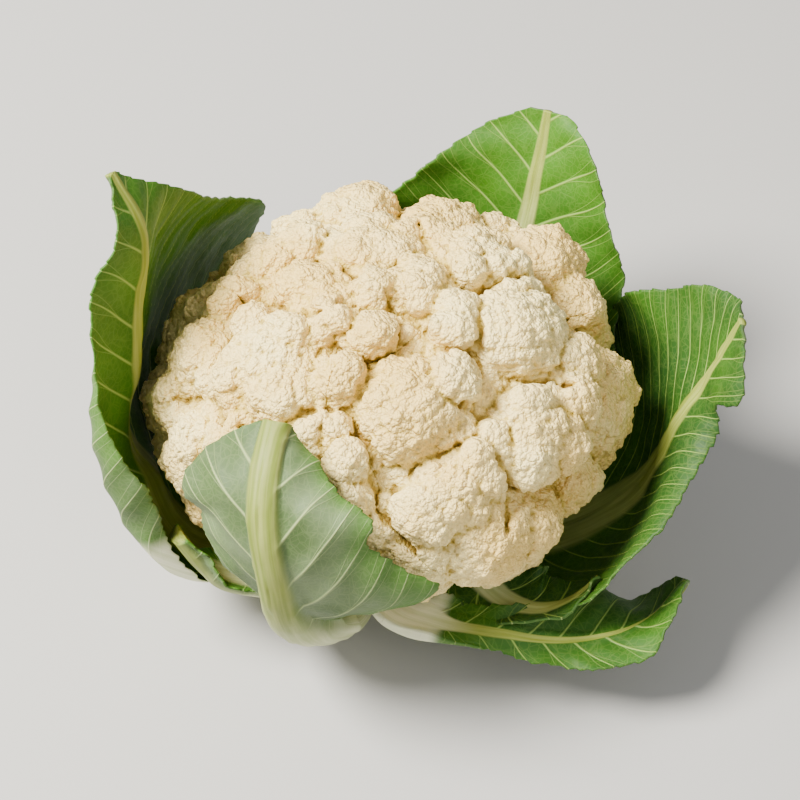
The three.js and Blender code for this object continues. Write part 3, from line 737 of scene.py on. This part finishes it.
def teeth(run, seed):
    """How far the margin is drawn in along its run, by waves, saw teeth and small nicks."""
    saw = run / SAW_LENGTH + noise_line(run / SAW_WANDER, seed + 1)
    waves = WAVE_DEPTH * noise_line(run / WAVE_LENGTH, seed)
    return waves + SAW_DEPTH * (saw - np.floor(saw)) + NICK_DEPTH * noise_line(run / NICK_LENGTH, seed + 2)


def side_veins(leaf, number, run, s, left):
    """Counts the side veins, with a half on each vein, and gives the distance to the nearest one.

    The veins leave the midrib one after another, on the two sides in turn, and bend towards the tip.
    """
    spacing, slant, curve = leaf["veins"]
    wander = noise_sheet(run / DRIFT_RUN, s / DRIFT_ACROSS, number + np.where(left, *DRIFT_SEEDS))
    drift = DRIFT * (wander - 0.5)
    vein = (run - slant * s - curve * s ** 2 + drift * smooth(*DRIFT_GROWS, s)) / spacing
    vein = vein + np.where(left, LEFT_SHIFT, 0.0) + number * LEAF_SHIFT + FIRST_VEIN
    gap = np.abs(vein - np.floor(vein) - 0.5) * spacing / math.hypot(1, slant)
    return vein, gap


def shell_faces(shape):
    """Faces of two sheets of points, one behind the other, joined round their rim."""
    index = np.arange(shape[0] * shape[1]).reshape(shape)
    a, b, c, d = index[:-1, :-1], index[1:, :-1], index[1:, 1:], index[:-1, 1:]
    front = np.stack([a, b, c, d], -1).reshape(-1, 4)
    back = np.stack([a, d, c, b], -1).reshape(-1, 4) + index.size
    rim = np.concatenate([index[0, :-1], index[:-1, -1], index[-1, :0:-1], index[:0:-1, 0]])
    following = np.roll(rim, -1)
    edge = np.stack([rim, following, following + index.size, rim + index.size], -1)
    return np.concatenate([front, back, edge])


def twice(values):
    """The same numbers for the inner and the outer sheet."""
    return np.concatenate([values.ravel(), values.ravel()])


def make_leaf(leaf, number, material):
    """A leaf with veins, puckers and a toothed margin, and the numbers that its material reads."""
    rows, columns = leaf["grid"]
    t = np.linspace(0, 1, rows + 1)[:, None] * np.ones((1, 2 * columns + 1))
    u = columns_across(leaf, t[:, 0], columns)
    left = u >= 0
    lengths = np.linalg.norm(np.diff(midrib(leaf, t[:, 0]), axis=0), axis=-1)
    run = np.concatenate([[0], np.cumsum(lengths)])[:, None] * np.ones_like(u)
    width = np.where(left, along(leaf["left"], t), along(leaf["right"], t))
    rib_width = along(leaf["rib"], t)
    open_blade = smooth(*BLADE_OPENS, width / rib_width)
    seed = number * LEAF_TEETH_SEED + np.where(left, *TEETH_SEEDS)
    u = u * (1 - open_blade * teeth(run, seed) / width)
    s = np.abs(u) * width
    rib_share = s / rib_width

    # Relief: side veins that fade towards the margin, puckers between them, and fibres on the stalk.
    vein, gap = side_veins(leaf, number, run, s, left)
    fade = open_blade * smooth(*VEIN_BEGINS, rib_share) * (1 - VEIN_FADE * np.abs(u))
    ridge = np.exp(-(gap / VEIN_HALF_WIDTH) ** 2) * fade
    pucker = PUCKER * (1 - np.exp(-(gap / PUCKER_HALF_WIDTH) ** 2)) * open_blade
    pucker = pucker * smooth(*PUCKER_BEGINS, rib_share)
    uneven = noise_sheet(run / SWELL_RUN, s / SWELL_ACROSS, number + np.where(left, *SWELL_SEEDS))
    pucker = pucker + SWELL * open_blade * (uneven - 0.5)
    wander = FIBRE_WANDER * noise_line(run / FIBRE_RUN, number + LEAF_FIBRE_SEED)
    fibres = FIBRE_DEPTH * np.cos(s * 2 * math.pi / FIBRE_SPACING + wander) * (1 - open_blade)

    # The two faces, on each side of the blade's middle.
    rib = np.sqrt(np.clip(1 - rib_share ** 2, 0, 1)) * along(leaf["depth"], t)
    thin = 1 - (1 - MARGIN_THIN) * open_blade * np.abs(u) ** MARGIN_POWER
    inner_half = BLADE / 2 * thin + RIB_INSIDE * rib
    outer_half = BLADE / 2 * thin + RIB_OUTSIDE * rib
    middle, inward = blade(leaf, t, u, CLEAR + BLADE / 2 + RIB_INSIDE * rib)
    normal = np.cross(np.gradient(middle, axis=1), np.gradient(middle, axis=0))
    normal /= np.linalg.norm(normal, axis=-1, keepdims=True)
    normal *= np.sign((normal * inward).sum(-1).mean())
    inner = middle + normal * (inner_half + pucker - VEIN_RELIEF_INSIDE * ridge)[..., None]
    outer = middle - normal * (outer_half - pucker + VEIN_RELIEF_OUTSIDE * ridge + fibres)[..., None]
    faces = shell_faces(u.shape)
    corner = inner[:-1, :-1]
    turn = np.cross(inner[1:, :-1] - corner, inner[1:, 1:] - corner)
    if (turn * normal[:-1, :-1]).sum(-1).mean() < 0:
        faces = faces[:, ::-1]
    points = np.concatenate([inner.reshape(-1, 3), outer.reshape(-1, 3)])
    piece = mesh_object(leaf["name"] + "_blade", points, faces)

    # Numbers for the material: veins, place on the blade, and tone of each face.
    under = np.concatenate([np.zeros(u.size), np.ones(u.size)])
    near_stalk = 1 - smooth(*leaf["pale_run"], t)
    pale = np.concatenate([(share * near_stalk).ravel() for share in leaf["pale"]])
    rib_look = rib_share * (1 + leaf.get("slim", 0) * smooth(*SLIM_RUN, t))
    veins = [twice(vein), twice(np.abs(u)), twice(rib_look)]
    place = [twice(np.where(left, s, -s)), twice(run), under * FACE_OFFSET + number * LEAF_OFFSET]
    tone = [under, pale, np.full(2 * u.size, leaf["tone"])]
    point_numbers(piece, "leaf_veins", np.stack(veins, -1))
    point_numbers(piece, "leaf_place", np.stack(place, -1))
    point_numbers(piece, "leaf_tone", np.stack(tone, -1))
    piece.data.materials.append(material)
    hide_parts(leaf["name"])


# Stalk

def make_stalk():
    """The cut stalk under the head, with shallow grooves and flat ends."""
    profile = np.array(STALK, float)
    run = np.concatenate([[0], np.cumsum(np.linalg.norm(np.diff(profile, axis=0), axis=1))])
    at = np.linspace(0, run[-1], STALK_RINGS + 1)[1:-1]
    radius = np.interp(at, run, profile[:, 0])[:, None]
    height = np.interp(at, run, profile[:, 1])[:, None]
    angle = np.linspace(0, 2 * math.pi, STALK_SIDES, endpoint=False)[None, :]
    groove = sum(deep * np.cos(count * angle + twist * height + lag)
                 for deep, count, twist, lag in STALK_GROOVES)
    radius = radius - (STALK_SINK + groove) * smooth(*GROOVE_START, height) * smooth(*GROOVE_END, height)
    points = np.stack([radius * np.cos(angle), radius * np.sin(angle), height + 0 * angle], -1)
    rings = points.shape[0]
    points = np.concatenate([points.reshape(-1, 3), [[0, 0, 0], [0, 0, STALK_TOP]]])
    index = np.arange(rings * STALK_SIDES).reshape(rings, STALK_SIDES)
    following = np.roll(index, -1, axis=1)
    faces = np.stack([index[:-1], following[:-1], following[1:], index[1:]], -1).reshape(-1, 4).tolist()
    bottom, top = len(points) - 2, len(points) - 1
    faces += [[bottom, int(following[0, k]), int(index[0, k])] for k in range(STALK_SIDES)]
    faces += [[top, int(index[-1, k]), int(following[-1, k])] for k in range(STALK_SIDES)]
    stalk = mesh_object("stalk_cut", points, faces)
    stalk.data.materials.append(stalk_material())
    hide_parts("stalk")


# Materials

class Look:
    """Short names for building one material's nodes."""

    def __init__(self, name):
        self.material = bpy.data.materials.new(name)
        self.material.use_nodes = True
        self.tree = self.material.node_tree
        self.shader = self.tree.nodes["Principled BSDF"]

    def node(self, kind, **settings):
        made = self.tree.nodes.new(kind)
        for key, value in settings.items():
            setattr(made, key, value)
        return made

    def feed(self, socket, value):
        if isinstance(value, bpy.types.NodeSocket):
            self.tree.links.new(value, socket)
        elif isinstance(value, (tuple, list)) and len(value) == 3 and socket.type == "RGBA":
            socket.default_value = (*value, 1)
        else:
            socket.default_value = value

    def math(self, operation, *values):
        made = self.node("ShaderNodeMath", operation=operation)
        for socket, value in zip(made.inputs, values):
            self.feed(socket, value)
        return made.outputs[0]

    def smooth(self, value, low, high, start=0.0, end=1.0):
        made = self.node("ShaderNodeMapRange", interpolation_type="SMOOTHSTEP")
        for socket, number in zip(made.inputs[:5], (value, low, high, start, end)):
            self.feed(socket, number)
        return made.outputs[0]

    def mix(self, share, first, second, blend="MIX"):
        made = self.node("ShaderNodeMix", data_type="RGBA", blend_type=blend)
        self.feed(made.inputs[0], share)
        self.feed(made.inputs[6], first)
        self.feed(made.inputs[7], second)
        return made.outputs[2]

    def place(self):
        return self.node("ShaderNodeTexCoord").outputs["Object"]

    def noise(self, scale, detail=2.0, rough=0.5, vector=None):
        made = self.node("ShaderNodeTexNoise")
        self.feed(made.inputs["Vector"], vector or self.place())
        made.inputs["Scale"].default_value = scale
        made.inputs["Detail"].default_value = detail
        made.inputs["Roughness"].default_value = rough
        return made.outputs["Fac"]

    def cells(self, scale, feature="F1", vector=None):
        made = self.node("ShaderNodeTexVoronoi", feature=feature)
        self.feed(made.inputs["Vector"], vector or self.place())
        made.inputs["Scale"].default_value = scale
        return made.outputs["Distance"]

    def numbers(self, name):
        source = self.node("ShaderNodeAttribute", attribute_name=name)
        split = self.node("ShaderNodeSeparateXYZ")
        self.feed(split.inputs[0], source.outputs["Vector"])
        return split.outputs

    def bump(self, height, distance, strength=1.0, normal=None):
        made = self.node("ShaderNodeBump")
        made.inputs["Strength"].default_value = strength
        made.inputs["Distance"].default_value = distance
        self.feed(made.inputs["Height"], height)
        if normal is not None:
            self.feed(made.inputs["Normal"], normal)
        return made.outputs[0]


def curd_material():
    """Cream and white, with painted shade that darkens the hollows and most the deep creases, and granules
    as bump.
    """
    look = Look("curd")
    near, wide, _ = look.numbers("curd_form")
    cream = (0.80, 0.56, 0.165)
    white = (0.93, 0.75, 0.32)
    # Painted shade: an ochre for hollows and a near-brown for the deepest creases.
    shade = (0.50, 0.36, 0.03)
    crease_shade = (0.24, 0.125, 0.001)
    patch = look.smooth(look.noise(22), 0.35, 0.65)
    colour = look.mix(patch, cream, white)
    # Painted shade in small hollows, then more of it where the curd lies deep between masses.
    hollow_shade = look.smooth(near, 0.5, 0.68)
    colour = look.mix(look.math("MULTIPLY", hollow_shade, 0.6), colour, shade)
    deep = look.smooth(wide, 0.54, 0.72)
    colour = look.mix(look.math("MULTIPLY", deep, 0.65), colour, shade)
    # The darkest painted shade goes in the deepest creases, mottled at random.
    blotch = look.smooth(look.noise(60), 0.4, 0.6)
    mottle = look.math("ADD", look.math("MULTIPLY", blotch, 0.5), 0.4)
    deepest_shade = look.math("MULTIPLY", look.smooth(wide, 0.62, 0.76), mottle)
    colour = look.mix(deepest_shade, colour, crease_shade)
    look.feed(look.shader.inputs["Base Color"], colour)
    look.shader.inputs["Roughness"].default_value = 0.62
    look.shader.inputs["Subsurface Weight"].default_value = 0.15
    look.shader.inputs["Subsurface Radius"].default_value = (0.8, 0.7, 0.4)
    look.shader.inputs["Subsurface Scale"].default_value = 0.003
    grain = look.cells(640)
    fine = look.cells(1300)
    domes = look.math("MULTIPLY", look.math("MULTIPLY", grain, grain), -1.4)
    small = look.math("MULTIPLY", look.math("MULTIPLY", fine, fine), -0.6)
    height = look.math("ADD", domes, small)
    look.feed(look.shader.inputs["Normal"], look.bump(height, 0.0010, 0.85))
    return look.material


def vein_lines(look, vein, across, rib, place):
    """Side veins that get thinner and fork towards the margin, over two sizes of net."""
    phase = look.math("FRACT", vein)
    gap = look.math("ABSOLUTE", look.math("SUBTRACT", phase, 0.5))
    out = look.math("SUBTRACT", 1.0, look.math("MULTIPLY", across, 0.7))
    main = look.smooth(gap, 0.0, look.math("MULTIPLY", out, 0.085), 1.0, 0.0)
    spread = look.math("MULTIPLY", look.smooth(across, 0.22, 1.0), 0.3)
    fork = look.math("ABSOLUTE", look.math("SUBTRACT", gap, spread))
    fork_line = look.smooth(fork, 0.0, 0.025, 1.0, 0.0)
    forks = look.math("MULTIPLY", fork_line, look.smooth(across, 0.2, 0.35, 0.0, 0.4))
    net = look.smooth(look.cells(0.16, "DISTANCE_TO_EDGE", place), 0.0, 0.05, 0.13, 0.0)
    mesh = look.smooth(look.cells(0.45, "DISTANCE_TO_EDGE", place), 0.0, 0.12, 0.1, 0.0)
    lines = look.math("MAXIMUM", look.math("MAXIMUM", main, forks), look.math("MAXIMUM", net, mesh))
    return look.math("MULTIPLY", lines, look.smooth(rib, 0.7, 1.2))


def leaf_material():
    """Green inside and a pale bloom under, with lighter veins and a striped rib, whitish at the stalk."""
    dark = (0.014, 0.055, 0.006)
    bright = (0.052, 0.168, 0.005)
    bloom_green = (0.058, 0.100, 0.030)
    bloom_pale = (0.125, 0.175, 0.080)
    bloom_margin = (0.062, 0.145, 0.020)
    vein_inside = (0.28, 0.40, 0.08)
    vein_under = (0.34, 0.41, 0.17)
    look = Look("leaf")
    vein, across, rib = look.numbers("leaf_veins")
    under, pale, tone = look.numbers("leaf_tone")
    place = look.node("ShaderNodeAttribute", attribute_name="leaf_place").outputs["Vector"]
    lines = vein_lines(look, vein, across, rib, place)

    blade_tone = look.math("ADD", tone, look.smooth(look.noise(28), 0.3, 0.7, -0.22, 0.22))
    inside = look.mix(blade_tone, dark, bright)
    bloom = look.mix(look.smooth(look.noise(38), 0.36, 0.64), bloom_green, bloom_pale)
    green_rim = look.math("MULTIPLY", look.smooth(across, 0.45, 0.95), look.smooth(look.noise(20), 0.4, 0.6))
    bloom = look.mix(green_rim, bloom, bloom_margin)
    skin = look.mix(under, inside, bloom)
    line_colour = look.mix(under, vein_inside, vein_under)
    colour = look.mix(look.math("MULTIPLY", lines, 0.8), skin, line_colour)

    stretched = look.node("ShaderNodeVectorMath", operation="MULTIPLY")
    look.feed(stretched.inputs[0], place)
    stretched.inputs[1].default_value = (0.55, 0.02, 1.0)
    stripes = look.smooth(look.noise(1.0, 3, 0.6, stretched.outputs[0]), 0.25, 0.75)
    inner_rib = look.mix(stripes, (0.16, 0.20, 0.012), (0.32, 0.36, 0.08))
    outer_rib = look.mix(stripes, (0.13, 0.175, 0.018), (0.27, 0.30, 0.075))
    white_rib = look.mix(stripes, (0.58, 0.62, 0.36), (0.80, 0.80, 0.58))
    whitish = look.math("MULTIPLY", look.smooth(pale, 0.5, 0.85), look.smooth(under, 0.0, 1.0, 0.8, 1.0))
    colour = look.mix(whitish, colour, white_rib)
    rib_colour = look.mix(pale, look.mix(under, inner_rib, outer_rib), white_rib)
    colour = look.mix(look.smooth(rib, 0.72, 1.12, 1.0, 0.0), colour, rib_colour)

    look.feed(look.shader.inputs["Base Color"], colour)
    look.feed(look.shader.inputs["Roughness"], look.smooth(look.noise(80), 0.2, 0.8, 0.5, 0.68))
    look.shader.inputs["Specular IOR Level"].default_value = 0.22
    look.shader.inputs["Subsurface Weight"].default_value = 0.08
    look.shader.inputs["Subsurface Radius"].default_value = (0.4, 1.0, 0.2)
    look.shader.inputs["Subsurface Scale"].default_value = 0.002
    first = look.bump(lines, 0.0005, 0.5)
    look.feed(look.shader.inputs["Normal"], look.bump(look.noise(420, 3), 0.0004, 0.35, first))
    return look.material


def stalk_material():
    """Pale green with fibres."""
    look = Look("stalk")
    fibres = look.noise(160, 3)
    colour = look.mix(fibres, (0.50, 0.54, 0.30), (0.72, 0.73, 0.52))
    look.feed(look.shader.inputs["Base Color"], colour)
    look.shader.inputs["Roughness"].default_value = 0.55
    look.feed(look.shader.inputs["Normal"], look.bump(fibres, 0.0006, 0.5))
    return look.material


# Stage

def make_floor():
    far = FLOOR_HALF
    corners = [(-far, -far, 0), (far, -far, 0), (far, far, 0), (-far, far, 0)]
    floor = mesh_object("floor", corners, [(0, 1, 2, 3)], body=None)
    look = Look("floor")
    look.shader.inputs["Base Color"].default_value = FLOOR_COLOUR
    look.shader.inputs["Roughness"].default_value = 0.8
    floor.data.materials.append(look.material)


def area_light(name, place, size, power, colour):
    """A round lamp that faces the point that the camera looks at."""
    light = bpy.data.lights.new(name, "AREA")
    light.shape = "DISK"
    light.size = size
    light.energy = power
    light.color = colour
    lamp = bpy.data.objects.new(name, light)
    lamp.location = place
    lamp.rotation_euler = (Vector(CAMERA_TARGET * MM) - Vector(place)).to_track_quat("-Z", "Y").to_euler()
    bpy.context.scene.collection.objects.link(lamp)


def make_lights():
    for light in LIGHTS:
        area_light(*light)
    world = bpy.data.worlds.new("studio")
    bpy.context.scene.world = world
    world.use_nodes = True
    sky = world.node_tree.nodes["Background"]
    sky.inputs["Color"].default_value = SKY_COLOUR
    sky.inputs["Strength"].default_value = SKY_STRENGTH


def make_camera():
    camera = bpy.data.cameras.new("camera")
    camera.lens = CAMERA_LENS
    camera.sensor_width = SENSOR
    camera.clip_start = 0.01
    holder = bpy.data.objects.new("camera", camera)
    e = math.radians(CAMERA_ELEVATION)
    back = Vector((0, -math.cos(e), math.sin(e)))
    holder.location = Vector(CAMERA_TARGET * MM) + back * CAMERA_DISTANCE * MM
    holder.rotation_euler = back.to_track_quat("Z", "Y").to_euler()
    bpy.context.scene.collection.objects.link(holder)
    bpy.context.scene.camera = holder


make_camera()
make_lights()
make_floor()
make_curd()
make_stalk()
leaf_look = leaf_material()
for number, leaf in enumerate(LEAVES):
    make_leaf(leaf, number, leaf_look)
